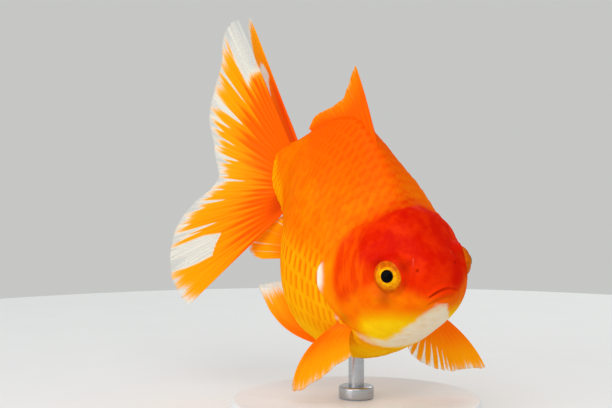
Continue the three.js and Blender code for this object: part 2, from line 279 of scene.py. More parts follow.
def ahead_of_gill(place):
    """How far a place lies ahead of the gill cover's free edge, and how much that edge matters there."""
    ahead = (place[..., 0] - gill_edge(place[..., 2])) * 0.9  # less than along the fish, as the edge slants
    weight = rise(-18, -15, place[..., 2]) * rise(11, 7, place[..., 2])
    return ahead, weight


def mouth_line(place):
    """Height over the mouth's slit, and how much the slit matters there."""
    x, y, z = place[..., 0], place[..., 1], place[..., 2]
    height = z - (MOUTH_HEIGHT - MOUTH_ARCH * y**2)
    weight = rise(32, 34, x) * rise(5.0, 3.8, np.abs(y))
    return height, weight


def on_left(place):
    """The same place on the left side, so that one spot serves both sides of the head."""
    return np.stack([place[..., 0], np.abs(place[..., 1]), place[..., 2]], -1)


def spot(place, centre, radius):
    """1 at a spot that both sides of the head have, falling off around it."""
    return hump(np.linalg.norm(on_left(place) - np.array(centre), axis=-1), radius)


def nostril_flap(place):
    """1 at the top of the small flap between the nostrils, half as much at its foot, 0 away from it."""
    line = FLAP_FOOT - FLAP_TOP
    from_top = on_left(place) - FLAP_TOP
    share = np.clip((from_top @ line) / (line @ line), 0, 1)
    away = np.linalg.norm(from_top - share[..., None] * line, axis=-1)
    return hump(away, FLAP_WIDTH) * (1 - 0.5 * share)


print("gill cover's edge reaches back to x =", round(float(gill_edge(-3)), 1))

# %% How the skin stands over the body's form
COVER_LIFT, GILL_GROOVE, CHEEK_FOLD = 0.42, 0.3, 0.16
SLIT_DEPTH, UPPER_LIP, LOWER_LIP = 0.48, 0.36, 0.4
FLAP_LIFT, FRONT_PIT, BACK_PIT, SNOUT_TRIM = 0.26, 0.55, 0.3, 0.45


def relief(place):
    """How far the skin lies over the body's form: scale coat, gill cover, lips, nostrils and snout."""
    x, y, z = place[..., 0], place[..., 1], place[..., 2]
    past_start = x - scale_start(y, z)
    scaled = rise(0.4, -0.4, past_start + 0.3)
    soft = rise(3.0, -1.2, past_start)
    ahead, at_gill = ahead_of_gill(place)
    cover = rise(-0.25, 0.15, ahead) * np.exp(-np.maximum(ahead, 0) / 7)
    height = -COAT * (at_gill * scaled + (1 - at_gill) * soft)
    height += at_gill * (COVER_LIFT * cover - GILL_GROOVE * hump(ahead + 0.5, 0.5))
    height -= at_gill * CHEEK_FOLD * hump(ahead - 8.5, 0.9)
    over, at_mouth = mouth_line(place)
    slit = -SLIT_DEPTH * hump(over, 0.19) * (0.45 + 0.55 * rise(2, -3, y))
    upper_lip = UPPER_LIP * hump(over - 0.5, 0.32) - 0.16 * hump(over - 1.4, 0.5)
    lower_lip = LOWER_LIP * hump(over + 0.9, 0.7) - 0.22 * hump(over + 2.4, 0.8)
    height += at_mouth * (slit + upper_lip + lower_lip)
    height += FLAP_LIFT * nostril_flap(place) - FRONT_PIT * spot(place, NOSTRIL_FRONT, 0.34)
    height -= BACK_PIT * spot(place, NOSTRIL_BACK, 0.6) + SNOUT_TRIM * rise(32, 37.5, x)
    return height


print("scale coat", COAT, "mm deep, mouth slit", SLIT_DEPTH, "mm deep")

# %% Orbits
EYE_PLACE = np.array([27.7, 8.8, 0.8])
EYE_FACING = np.array([0.36, 0.92, 0.16]) / np.linalg.norm([0.36, 0.92, 0.16])
EYE_RADIUS, ORBIT_RADIUS = 4.5, 4.95
EYE_OPENING = math.radians(58)  # half the cone in which the eye shows
LID_TUCK = 0.45  # how deep the skin goes under the eyeball
OUT_OF_REACH = 3  # so far under the skin that the orbit has no effect


def on_side(point, side):
    """A point of the left side when side is 1, and its mirror on the right when side is -1."""
    return point * np.array([1, side, 1])


def smooth_largest(a, b, softness):
    mix = np.clip(0.5 + 0.5 * (a - b) / softness, 0, 1)
    return b * (1 - mix) + a * mix + softness * mix * (1 - mix)


def with_orbits(place, outwards, height):
    """Raises the skin into a round orbit at each eye, and tucks it under the eyeball inside the lids."""
    skin = place + outwards * height[..., None]
    for side in (1, -1):
        centre, facing = on_side(EYE_PLACE, side), on_side(EYE_FACING, side)
        offset = skin - centre
        past_centre = (offset * outwards).sum(-1)
        inside = past_centre**2 - (offset**2).sum(-1) + ORBIT_RADIUS**2
        to_orbit = np.where(inside > 0, -past_centre + np.sqrt(np.maximum(inside, 0)), -OUT_OF_REACH)
        near = rise(11, 8, np.linalg.norm(offset, axis=-1))
        lift = smooth_largest(to_orbit * near - OUT_OF_REACH * (1 - near), np.zeros(len(near)), 1.5)
        skin = skin + outwards * lift[..., None]
        offset = skin - centre
        length = np.linalg.norm(offset, axis=-1)
        away = np.arccos(np.clip((offset @ facing) / length, -1, 1))
        lid = rise(EYE_OPENING + 0.11, EYE_OPENING, away)
        tucked = centre + offset / length[..., None] * (EYE_RADIUS - LID_TUCK)
        skin = skin * (1 - lid)[..., None] + tucked * lid[..., None]
    return skin


print("orbits", 2 * ORBIT_RADIUS, "mm across")

# %% [markdown]
# ## Markings
# The colours of a goldfish fade into each other, so a painted picture could give them, but it would only
# fit one view. Here each colour has a mask that is worked out from the place on the level fish: a red cap
# down to the cheeks, yellow from the lower flank to the belly, a cream chin and a pale margin on the gill
# cover. Painted shade darkens the folds, pits and hollows, and the brightest yellow, on the belly and jowl,
# is partly their own colour and partly painted light from below. Skin and scales use the same function, so a
# mark runs on from one to the other.

# %% Lines that bound the colours
CAP_REAR = [
    (-14, 18.5), (-11.2, 17.2), (-6.5, 15.3), (-2.4, 14.3), (1.5, 13.3),
    (4.7, 12.8), (6.9, 13.6), (9.1, 15), (13, 16.8)]
CHEEK_FOOT = [
    (12, -14), (17, -12.5), (20, -9.5), (23.5, -6), (28, -4.5), (32.5, -1.8), (36, -3.2), (38.5, -3.5)]
JOWL_TOP = [(19, -14.5), (23.8, -10.5), (30.1, -7.8), (34.7, -7)]
CREAM_TOP = [
    (19, -17.5), (20.7, -16.8), (22.2, -17.4), (25.2, -17.9), (29.5, -14), (34.7, -8.1), (38.2, -3.9)]
CRESCENT_LEVEL = -5.2
# The spots below are painted shade in the nostril pits and the hollows of the head.
SHADE_SPOTS = [  # the place, radius and strength of each dark spot
    (NOSTRIL_FRONT, 0.36, 0.7), (NOSTRIL_BACK, 0.9, 0.3), ((30.4, 7.8, 3.4), 1.5, 0.42),
    ((18.3, 15.5, -13.6), 1.6, 0.35), ((28.8, 11.2, -3.6), 2.2, 0.6)]


def off_line(x, line):
    """A height or a place read off a listed line."""
    return np.interp(x, [point[0] for point in line], [point[1] for point in line])


print("level with the eye, the cap ends at x =", round(float(off_line(0, CAP_REAR)), 1))


# %% Masks from the place on the fish
def behind_head(x):
    return 1 - rise(12, 20, x)


def red_and_crown(place):
    """The red of the head down to the cheeks, and in it the deeper red of the crown."""
    x, z = place[..., 0], place[..., 2]
    cap_rear = off_line(z, CAP_REAR)
    nape = rise(6, 10, z)
    red = rise(cap_rear - 1.5 - 6.5 * nape, cap_rear + 2.4 + 1.5 * nape, x)
    red = red * rise(-3.6, 5.2, z - off_line(x, CHEEK_FOOT) - 1.2 * rise(31, 27, x))
    crown = red * rise(-3, 6, z + 0.35 * (x - 26)) * rise(12, 22, x)
    return red, crown


def yellow_parts(place):
    """Yellow on the lower flank, belly, jowl and tail stalk, and along the gill cover's margin."""
    x, z = place[..., 0], place[..., 2]
    ahead, at_gill = ahead_of_gill(place)
    flank = rise(9, -20, z) * rise(-34, -6, x) * behind_head(x)
    belly = rise(-12, -27, z) * (1 - 0.5 * rise(20, 26, x))
    jowl = rise(3.4, -3.6, z - off_line(x, JOWL_TOP)) * rise(18.5, 24, x)
    stalk = 0.3 * rise(-19, -33, x) * rise(9, -2, z) + 0.4 * rise(-33.5, -36.5, x) * rise(9, 4, z)
    margin = 0.36 * at_gill * hump(ahead - 2.4, 1.7) * rise(8, -2, z)
    return np.maximum.reduce([0.54 * flank, belly, jowl, stalk, margin])


def cream_chin(place):
    """Cream under the mouth, as far back as the throat and only a little way over to the left."""
    x, y, z = place[..., 0], place[..., 1], place[..., 2]
    rear = 23.2 - 0.025 * y**2
    left_edge = 0.7 - 0.6 * (z + 3.9)
    cream = rise(1.3, -1.5, z - off_line(x, CREAM_TOP)) * rise(rear - 1.2, rear + 1.2, x)
    cream = cream * (1 - rise(-1.1, 1.1, y - left_edge) * rise(24, 30, x))
    return cream * (1 - 0.45 * rise(28, 21, x))


def pale_marks(place):
    """A pale crescent on the gill cover's edge, a pale spot below it and a pale flap at the nostril."""
    ahead, at_gill = ahead_of_gill(place)
    up = place[..., 2] - CRESCENT_LEVEL
    crescent = at_gill * rise(-0.45, -0.1, ahead) * rise(3.8, 0.1, ahead + 0.09 * up**2)
    crescent = crescent * rise(6.6, 1.5, np.abs(up))
    below = 0.8 * spot(place, (15.6, 16.5, -14.9), 1.3)
    return np.maximum.reduce([crescent, below, 0.27 * nostril_flap(place)])


def painted_fold_shade(place):
    """Painted shade: darker skin between the lips, in the nostrils and hollows, round the eye and along its
    upper lid.
    """
    over, at_mouth = mouth_line(place)
    lips = at_mouth * rise(3.5, -3, place[..., 1])
    fold_shade = np.maximum(0.6 * lips * hump(over, 0.23), 0.28 * lips * hump(over + 1.8, 0.3))
    for centre, radius, strength in SHADE_SPOTS:
        fold_shade = np.maximum(fold_shade, strength * spot(place, centre, radius))
    offset = on_left(place) - EYE_PLACE
    away = np.linalg.norm(offset, axis=-1)
    above_ahead = (offset @ np.array([0.6, 0.0, 0.8])) / np.maximum(away, 0.1)
    facing = (offset @ EYE_FACING) / np.maximum(away, 0.1)
    # Painted shade round the orbit, heavier above and ahead of the eye, and along the upper lid's edge.
    rim = hump(away - ORBIT_RADIUS, 0.95) * (0.5 + 0.4 * rise(-0.3, 0.7, above_ahead))
    rim = rim * rise(0.2, 0.5, facing)
    upper_lid = hump(facing - 0.47, 0.1) * rise(6.6, 5.6, away) * rise(-0.1, 0.7, above_ahead)
    return np.maximum.reduce([fold_shade, 0.7 * rim, 0.75 * upper_lid])


def set_markings(obj, place):
    """Every colour's mask, kept on the mesh for the materials."""
    x, z = place[..., 0], place[..., 2]
    red, crown = red_and_crown(place)
    back = rise(6, 26, z) * behind_head(x) * rise(-34, -16, x)
    masks = {"red": red, "crown": crown, "yellow": yellow_parts(place), "cream": cream_chin(place),
             "pale": pale_marks(place), "fold_shade": painted_fold_shade(place), "back": back}
    for name, values in masks.items():
        set_values(obj, name, values)


print("masks set")

# %% [markdown]
# ## Materials
# A wet fish is glossy skin over a strong colour that goes a little way down. The colours come from one node
# group that mixes the masks, with fine noise so that no border is a clean line; skin and scales share it.
# Each material then keeps its own shader, with its own gloss and bump.


# %% Node tools
def paint(red, green, blue):
    """A colour as painters' 0-255 numbers, made linear for the nodes."""
    linear = [c / 255 / 12.92 if c <= 10 else ((c / 255 + 0.055) / 1.055) ** 2.4 for c in (red, green, blue)]
    return (*linear, 1)


class Wiring:
    """Adds nodes to a tree and joins them, so that a material reads as a short list of steps."""

    def __init__(self, tree):
        self.tree = tree

    def add(self, kind, settings=None, **inputs):
        node = self.tree.nodes.new(kind)
        for key, value in (settings or {}).items():
            setattr(node, key, value)
        for key, value in inputs.items():
            self.feed(node.inputs[key.replace("_", " ")], value)
        return node

    def feed(self, socket, value):
        if isinstance(value, bpy.types.NodeSocket):
            self.tree.links.new(value, socket)
        else:
            socket.default_value = value

    def value(self, name):
        """A number that the mesh keeps under this name."""
        return self.add("ShaderNodeAttribute", {"attribute_name": name}).outputs["Fac"]

    def object_place(self):
        return self.add("ShaderNodeTexCoord").outputs["Object"]

    def math(self, operation, a, b=0.0):
        node = self.add("ShaderNodeMath", {"operation": operation})
        self.feed(node.inputs[0], a)
        self.feed(node.inputs[1], b)
        return node.outputs[0]

    def times(self, a, b):
        return self.math("MULTIPLY", a, b)

    def plus(self, a, b):
        return self.math("ADD", a, b)

    def centred(self, value, amount):
        """A noise of 0 to 1 made to swing about 0, by this amount from end to end."""
        return self.times(self.math("SUBTRACT", value, 0.5), amount)

    def noise(self, scale, detail=2.0, vector=None, roughness=0.5):
        node = self.add("ShaderNodeTexNoise", Scale=scale, Detail=detail, Roughness=roughness)
        if vector is not None:
            self.feed(node.inputs["Vector"], vector)
        return node.outputs["Fac"]

    def stretched_noise(self, vector, scales, roughness=0.5):
        """Noise drawn out along the axes with the smaller scales."""
        mapping = self.add("ShaderNodeMapping", Vector=vector, Scale=scales)
        return self.noise(1.0, 3, mapping.outputs["Vector"], roughness)

    def spread(self, value, low, high, to_low=0.0, to_high=1.0):
        """The shader's own form of rise, from to_low to to_high."""
        node = self.add("ShaderNodeMapRange", {"interpolation_type": "SMOOTHSTEP"}, Value=value)
        for key, number in (("From Min", low), ("From Max", high), ("To Min", to_low), ("To Max", to_high)):
            self.feed(node.inputs[key], number)
        return node.outputs["Result"]

    def mix(self, share, a, b):
        """One colour over another; sockets 6 and 7 are the node's colours, and 2 is their mix."""
        node = self.add("ShaderNodeMix", {"data_type": "RGBA"})
        self.feed(node.inputs["Factor"], share)
        self.feed(node.inputs[6], a)
        self.feed(node.inputs[7], b)
        return node.outputs[2]


def new_group(name, inputs, outputs):
    group = bpy.data.node_groups.new(name, "ShaderNodeTree")
    for socket, kind in inputs:
        group.interface.new_socket(socket, in_out="INPUT", socket_type=kind)
    for socket, kind in outputs:
        group.interface.new_socket(socket, in_out="OUTPUT", socket_type=kind)
    return group, Wiring(group), group.nodes.new("NodeGroupInput"), group.nodes.new("NodeGroupOutput")


def new_material(name, **constants):
    material = bpy.data.materials.new(name)
    material.use_nodes = True
    shader = material.node_tree.nodes["Principled BSDF"]
    for key, value in constants.items():
        shader.inputs[key.replace("_", " ")].default_value = value
    return material, Wiring(material.node_tree), shader


def use_group(wiring, group, **inputs):
    node = wiring.add("ShaderNodeGroup", {"node_tree": group})
    for key, value in inputs.items():
        wiring.feed(node.inputs[key.replace("_", " ")], value)
    return node


def fine_surface(wiring, shader, grain, gloss, strength, depth, height=None):
    """Gloss that varies with the grain, between two roughnesses, and the fine bumps that go with it."""
    wiring.feed(shader.inputs["Roughness"], wiring.spread(grain, 0.3, 0.7, *gloss))
    bump = wiring.add("ShaderNodeBump", Strength=strength, Distance=depth, Height=height or grain)
    wiring.feed(shader.inputs["Normal"], bump.outputs["Normal"])


print("node tools ready")

# %% Fish colours, shared by skin and scales
ORANGE, DEEP_ORANGE, BACK_ORANGE = paint(247, 119, 1), paint(245, 101, 1), paint(246, 82, 1)
YELLOW, BELLY_YELLOW_AND_UPLIGHT = paint(248, 178, 1), paint(255, 206, 14)
CHEEK_RED, LIGHT_CHEEK = paint(230, 56, 1), paint(244, 84, 1)
CAP_RED, LIGHT_CAP = paint(214, 20, 1), paint(232, 46, 1)
CREAM, WARM_CREAM = paint(238, 222, 194), paint(234, 206, 164)
# The second colour on the next line is that of the painted shade in the head's folds, pits and hollows.
PALE, FOLD_SHADE = paint(242, 232, 216), paint(120, 18, 2)

fish_colours, wire, group_in, group_out = new_group(
    "Fish colours", [("Break up", "NodeSocketFloat")],
    [("Color", "NodeSocketColor"), ("Mottle", "NodeSocketFloat")])
object_place = wire.object_place()
mottle = wire.noise(260, 3, object_place, 0.6)
fine = wire.noise(1500, 2, object_place)
ragged = wire.centred(wire.noise(520, 3, object_place, 0.65), group_in.outputs["Break up"])
streaks = wire.stretched_noise(object_place, (620, 260, 110), 0.6)
clouds = wire.noise(140, 4, object_place, 0.6)


def ragged_mask(value, low=0.0, high=1.0):
    """A mask with a broken border."""
    return wire.spread(wire.plus(value, ragged), low, high)


colour = wire.mix(wire.spread(mottle, 0.35, 0.65), ORANGE, DEEP_ORANGE)
colour = wire.mix(ragged_mask(wire.value("back")), colour, BACK_ORANGE)
yellow = wire.value("yellow")
colour = wire.mix(ragged_mask(yellow), colour, YELLOW)
# Brighter yellow on the belly and jowl: partly their own colour, partly painted light that stands in for
# light thrown up from the floor.
colour = wire.mix(ragged_mask(yellow, 0.7, 1.1), colour, BELLY_YELLOW_AND_UPLIGHT)
red = wire.plus(wire.value("red"), wire.centred(streaks, 0.7))
cheek = wire.mix(wire.spread(streaks, 0.4, 0.66), CHEEK_RED, LIGHT_CHEEK)
colour = wire.mix(ragged_mask(red, 0.15, 0.95), colour, cheek)
cap = wire.mix(wire.spread(clouds, 0.4, 0.62), CAP_RED, LIGHT_CAP)
colour = wire.mix(ragged_mask(wire.value("crown"), 0.05, 0.9), colour, cap)
cream = wire.plus(wire.value("cream"), wire.centred(streaks, 0.9))
chin = wire.mix(wire.spread(streaks, 0.42, 0.75), CREAM, WARM_CREAM)
colour = wire.mix(ragged_mask(cream, 0.2, 0.85), colour, chin)
colour = wire.mix(ragged_mask(wire.value("pale"), 0.15, 0.85), colour, PALE)
# Painted shade in the folds, pits and hollows of the head.
colour = wire.mix(wire.times(wire.value("fold_shade"), 0.85), colour, FOLD_SHADE)
wire.feed(group_out.inputs["Color"], colour)
wire.feed(group_out.inputs["Mottle"], fine)
print("fish colours:", len(fish_colours.nodes), "nodes")

# %% Skin material
skin_material, wire, shader = new_material(
    "Wet skin", Specular_IOR_Level=0.0, Coat_Weight=0.035, Coat_Roughness=0.2,
    Subsurface_Weight=0.1, Subsurface_Scale=0.001, Subsurface_Radius=(1.0, 0.35, 0.1))
colours = use_group(wire, fish_colours, Break_up=0.28)
wire.feed(shader.inputs["Base Color"], colours.outputs["Color"])
fine_surface(wire, shader, colours.outputs["Mottle"], (0.34, 0.46), strength=0.22, depth=0.00012)
print("skin material ready")

# %% Scale material
SCALE_GOLD_AND_SHEEN, SCALE_EDGE = paint(255, 186, 6), paint(236, 82, 1)
SCALE_ROOT_SHADOW, SCALE_TINT = paint(232, 76, 1), paint(242, 96, 1)
RIDGE_RATE = 95.0  # radians along a scale, for 15 growth ridges

scale_material, wire, shader = new_material(
    "Wet scales", Specular_IOR_Level=0.0, Coat_Weight=0.025, Coat_Roughness=0.24)
colours = use_group(wire, fish_colours, Break_up=0.35)
lie = wire.value("lie")
from_middle = wire.math("ABSOLUTE", wire.value("across"))
low_on_flank = wire.spread(wire.value("yellow"), 0.0, 0.3)
# Gold on the open part of each scale, most on the lower flank: partly the scales' own gold, partly a painted
# sheen of their reflecting layer.
gold_and_sheen = wire.times(wire.spread(lie, 0.58, 0.76), wire.spread(lie, 0.97, 0.84))
gold_and_sheen = wire.times(gold_and_sheen, wire.spread(from_middle, 1.0, 0.6, 0.75, 1.0))
gold_and_sheen = wire.times(gold_and_sheen, wire.spread(low_on_flank, 0, 1, 0.08, 0.7))
colour = wire.mix(gold_and_sheen, colours.outputs["Color"], SCALE_GOLD_AND_SHEEN)
edge = wire.times(wire.spread(lie, 0.88, 0.98), wire.spread(low_on_flank, 0, 1, 0.14, 0.26))
colour = wire.mix(edge, colour, SCALE_EDGE)
# Painted shadow: a darker band just behind the free edge of the scale in front, where that edge shades this
# one.
root = wire.times(wire.spread(lie, 0.66, 0.48), wire.spread(low_on_flank, 0, 1, 0.15, 0.14))
colour = wire.mix(root, colour, SCALE_ROOT_SHADOW)
colour = wire.mix(wire.spread(wire.value("tint"), 0, 1, 0.0, 0.14), colour, SCALE_TINT)
wire.feed(shader.inputs["Base Color"], colour)
growth = wire.times(wire.math("SINE", wire.times(lie, RIDGE_RATE)), 0.25)
ridges = wire.plus(growth, colours.outputs["Mottle"])
fine_surface(wire, shader, colours.outputs["Mottle"], (0.3, 0.42), strength=0.15, depth=0.0001, height=ridges)
print("scale material ready")

# %% [markdown]
# ## The skin
# One closed skin replaces the solids of head, jaw, trunk, tail stalk and gill covers, so that no joint
# shows. It could be a voxel remesh of them, but that would blur the lips and lids. A sphere is moved vertex
# by vertex onto the body's form instead: its pole is the snout, and its rings stand closest together on the
# head.

# %% Skin
SKIN_AROUND, SKIN_RINGS = 288, 330
FLESH = ["head", "lower_jaw", "trunk", "tail_stalk", "gill_cover_left", "gill_cover_right"]
ring_weight = smooth_through([(0, 3.2), (0.16, 2.6), (0.32, 1.8), (0.45, 0.8), (0.9, 0.8), (1, 1.2)])
shoulder_line = rings[:, len(angle_grid) // 4]  # halfway down from the back to the side
meridian = np.linalg.norm(np.diff(shoulder_line, axis=0), axis=-1) * ring_weight(along_grid[1:])
meridian = np.concatenate([[0], np.cumsum(meridian)])
meridian = meridian / meridian[-1]

bpy.ops.mesh.primitive_uv_sphere_add(segments=SKIN_AROUND, ring_count=SKIN_RINGS, radius=1)
skin = bpy.context.active_object
ball = coords(skin)
polar = np.arccos(np.clip(ball[:, 2], -1, 1)) / math.pi
around = np.arctan2(ball[:, 1], ball[:, 0]) / math.pi
along = np.interp(polar, meridian, along_grid)
along = np.where(polar < 1e-6, 0.0, np.where(polar > 1 - 1e-6, 1.0, along))
level_place = on_body(along, around)
set_coords(skin, level_place)
outward(skin)
formed = with_orbits(level_place, coords(skin, "normal"), relief(level_place))
set_coords(skin, posed(formed))
set_markings(skin, level_place)
skin.data.uv_layers[0].name = "OFBake"
outward(skin)
bpy.ops.object.shade_smooth()
finish_piece(skin, "skin", skin_material, FLESH)

# %% [markdown]
# ## The scales
# A fantail is short for its depth, so its scales stand in about 17 rows on each side, low ones on the back
# and tall ones on the belly, and show only a narrow crescent each. A pattern in the material could draw
# them, but their free edges catch the light and break the outline. One scale is modelled from a grid:
# rounded behind, thin, a little domed. Its copies are laid on the skin in staggered rows, each one over the
# next behind it, in columns that stay upright, so that the gill cover's edge cuts across them. The copies
# of each side are joined into one piece.

# %% One scale
ROWS, COLUMNS = 17, 31
SCALE_LENGTH, SCALE_HEIGHT = 2.25, 1.62  # in steps of the columns and rows, so that neighbours overlap
SCALE_THICKNESS, SCALE_DOME = 0.11, 0.1
ROOT_DEPTH = 0.1  # how far the hidden front end lies under the skin
TIP_LIFT = 0.02  # holds each free end a little off the scale behind it
BAKE_PATCH = (0.0015, 0.003)  # half the width and the whole height of a scale's patch on the bake's map

bpy.ops.mesh.primitive_grid_add(x_subdivisions=6, y_subdivisions=4, size=2)
scale = bpy.context.active_object
flat = coords(scale)
u, v = flat[:, 0], (flat[:, 1] + 1) / 2
rear = 1 - 0.34 * np.abs(u) ** 2.4  # the free end is round
front_narrowing = 0.72 + 0.28 * rise(0, 0.5, v)
set_coords(scale, np.stack([u * front_narrowing, v * rear, 0 * v], -1))
only(scale)
bpy.ops.object.mode_set(mode="EDIT")
bpy.ops.mesh.select_all(action="SELECT")
bpy.ops.mesh.extrude_region_move(TRANSFORM_OT_translate={"value": (0, 0, -1)})
bpy.ops.object.mode_set(mode="OBJECT")
outward(scale)
scale_points = coords(scale)
scale_faces = [list(polygon.vertices) for polygon in scale.data.polygons]
bpy.data.objects.remove(scale)
print("one scale:", len(scale_faces), "faces")

# %% Rows and columns of scales
row_place = smooth_through([(0, 0), (9, 0.43), (ROWS, 1)])
column_x = smooth_through([(-3, 30.6), (0, 24), (16, -9.4), (COLUMNS, -37.4)])
line_share = np.linspace(0, 1, 121)
line_x = np.full(len(line_share), 14.0)
for _ in range(12):  # the line's x depends on its height and that on its x, so both are found step by step
    line_place = on_body((SNOUT_X - line_x) / BODY_LENGTH, line_share)
    line_x = 0.5 * line_x + 0.5 * scale_start(line_place[:, 1], line_place[:, 2])


def row_share(row):
    """Where a row lies around the body; past the back and the belly it goes on down the other side."""
    past_belly = np.where(row > ROWS, 2 - row_place(2 * ROWS - row), row_place(row))
    return np.where(row < 0, -row_place(-row), past_belly)


def scales_behind_line(rows):
    """The row and the column of each scale; every second row is set back by half a column."""
    grid = np.array([(row, column) for row in rows for column in range(COLUMNS + 1)], float)
    row = grid[:, :1]
    column = grid[:, 1:] + 0.5 * (row % 2)
    start = np.interp(row_share(row), line_share, line_x)
    keep = ((column_x(column) < start - 0.2) & (column <= COLUMNS))[:, 0]
    return row[keep], column[keep]


print("scales start between x =", round(float(line_x.min()), 1), "and", round(float(line_x.max()), 1))


# %% Lay the scales on the skin
def body_normals(along, around, place):
    """Outward from the body's form, worked out from small steps along and around it."""
    step = 0.002
    ahead = on_body(along - step, around) - on_body(along + step, around)
    across = on_body(along, around + step) - on_body(along, around - step)
    normal = np.cross(ahead, across)
    normal /= np.linalg.norm(normal, axis=-1)[..., None]
    from_core = place - np.array([0, 0, -4.0])
    return normal * np.sign((normal * from_core).sum(-1).mean())


def joined_scales(name, points):
    """One mesh of all the copies, from points for (scale, point of the scale)."""
    count, size = points.shape[:2]
    faces = [[corner + size * i for corner in face] for i in range(count) for face in scale_faces]
    mesh = bpy.data.meshes.new(name)
    mesh.from_pydata(points.reshape(-1, 3).tolist(), [], faces)
    obj = bpy.data.objects.new(name, mesh)
    bpy.context.scene.collection.objects.link(obj)
    return obj


def set_bake_map(obj, u, v):
    """The bake's map, from two numbers for each vertex."""
    corners = np.empty(len(obj.data.loops), int)
    obj.data.loops.foreach_get("vertex_index", corners)
    patch = np.stack([u, v], -1).reshape(-1, 2)
    bake = obj.data.uv_layers.new(name="OFBake")
    bake.data.foreach_set("uv", patch[corners].ravel())


def lay_scales(name, side, rows):
    """All scales of one side as one piece. Every array is for (scale, point of the scale)."""
    chance = np.random.default_rng(7 + side)
    row, column = scales_behind_line(rows)
    count = len(row)
    length = SCALE_LENGTH * (1 + 0.05 * chance.standard_normal((count, 1)))
    skew = 0.12 * chance.standard_normal((count, 1))
    lift = COAT * (0.95 + 0.12 * chance.standard_normal((count, 1)))
    u, v, under = scale_points.T[:, None, :]
    x = column_x(column - length * (1 - v)) + skew * u
    along = (SNOUT_X - x) / BODY_LENGTH
    around = row_share(row + 0.5 * SCALE_HEIGHT * u) * side
    place = on_body(along, around)
    normal = body_normals(along, around, place)
    dome = SCALE_DOME * (1 - u**2)
    height = -COAT - ROOT_DEPTH + (lift + TIP_LIFT) * v + dome * v + SCALE_THICKNESS * under
    scales = joined_scales(name, posed(place + normal * height[..., None]))
    set_markings(scales, place.reshape(-1, 3))
    set_values(scales, "lie", (v + 0 * row).ravel())
    set_values(scales, "across", (u + 0 * row).ravel())
    set_values(scales, "tint", (chance.random((count, 1)) + 0 * u).ravel())
    root_along = (SNOUT_X - column_x(column - SCALE_LENGTH)) / BODY_LENGTH
    root_around = 0.5 + 0.5 * side * row_share(row)
    set_bake_map(scales, root_along + BAKE_PATCH[0] * u, root_around + BAKE_PATCH[1] * (v - 0.5))
    outward(scales)
    bpy.ops.object.shade_smooth_by_angle(angle=math.radians(50))
    print(name, count, "scales")
    finish_piece(scales, name, scale_material, [])


lay_scales("scales_left", 1, range(0, ROWS + 1))  # with the rows on the ridge of the back and under the belly
lay_scales("scales_right", -1, range(1, ROWS))

# %% [markdown]
# ## The fins
# A fin is a thin skin over a fan of bony rays that fork towards the margin, and the skin draws back between
# their tips. The rays could be cords on a sheet, but they grow out of it without an edge. So a grid is laid
# on the same fan as the solid, its thickness is weighted by how near a ray is, and a Solidify modifier
# makes it a closed blade.

# %% The fan of a fin
FIN_THICKNESS = 0.5


class Fan:
    """The middle surface of a fin, from the same numbers as its solid."""

    def __init__(self, root, rays, lengths, bow=(0, 0, 0), fade=0):
        self.root = np.array(root, float)
        self.direction = [smooth_through([(ray[0], ray[axis]) for ray in rays]) for axis in (1, 2, 3)]
        self.length = smooth_through(lengths)
        self.bow = np.array(bow, float)
        self.fade = fade

    def at(self, u, v):
        toward = np.stack([direction(u) for direction in self.direction], -1)
        toward /= np.linalg.norm(toward, axis=-1)[..., None]
        length = self.length(u)
        root = self.root[0] + (self.root[1] - self.root[0]) * u[..., None]
        bend = length * v * (1 - v) * (1 - self.fade * u)
        return root + toward * (length * v)[..., None] + self.bow * bend[..., None]

    def normal(self, u, v):
        step = 0.01
        over = self.at(np.minimum(u + step, 1), v + step) - self.at(np.maximum(u - step, 0), v + step)
        out = self.at(u, v + step) - self.at(u, v)
        normal = np.cross(over, out)
        return normal / np.linalg.norm(normal, axis=-1)[..., None]


def mirrored(fan):
    flip = np.array([1, -1, 1])
    other = dict(fan)
    other["root"] = [np.array(end) * flip for end in fan["root"]]
    other["rays"] = [(ray[0], ray[1], -ray[2], ray[3]) for ray in fan["rays"]]
    other["bow"] = np.array(fan.get("bow", (0, 0, 0))) * flip
    return other


TAIL = {
    "root": [(-31, 1.2, 10.5), (-33, 1.4, -8.6)],
    "rays": [(0, -0.67, 0.02, 0.74), (0.18, -0.81, 0.1, 0.57), (0.38, -0.93, 0.28, 0.22),
             (0.54, -0.87, 0.47, -0.12), (0.74, -0.7, 0.58, -0.42), (1, -0.42, 0.5, -0.785)],
    "lengths": [(0, 38.5), (0.05, 39.9), (0.1, 39.8), (0.2, 34.8), (0.35, 30.2), (0.45, 24.2),
                (0.54, 21), (0.6, 22.5), (0.66, 28), (0.8, 37), (0.92, 40.5), (1, 40)],
}
PELVIC = {
    "root": [(0, 7.5, -32), (-8, 6, -30.5)],
    "rays": [(0, -0.92, 0.23, 0.21), (0.5, -0.88, 0.25, 0.38), (1, -0.78, 0.22, 0.57)],
    "lengths": [(0, 26), (0.25, 26), (0.5, 22), (1, 16)],
    "bow": (0, 0.36, -0.38),
}
ANAL = {
    "root": [(-22, 2, -17.5), (-28, 1.5, -10.5)],
    "rays": [(0, -0.93, 0.18, -0.36), (0.25, -0.95, 0.17, -0.3), (0.5, -0.99, 0.1, -0.1), (1, -1, 0.07, 0.1)],
    "lengths": [(0, 18), (0.15, 21.4), (0.3, 20.8), (0.5, 17.8), (0.8, 10.4), (1, 3.6)],
}
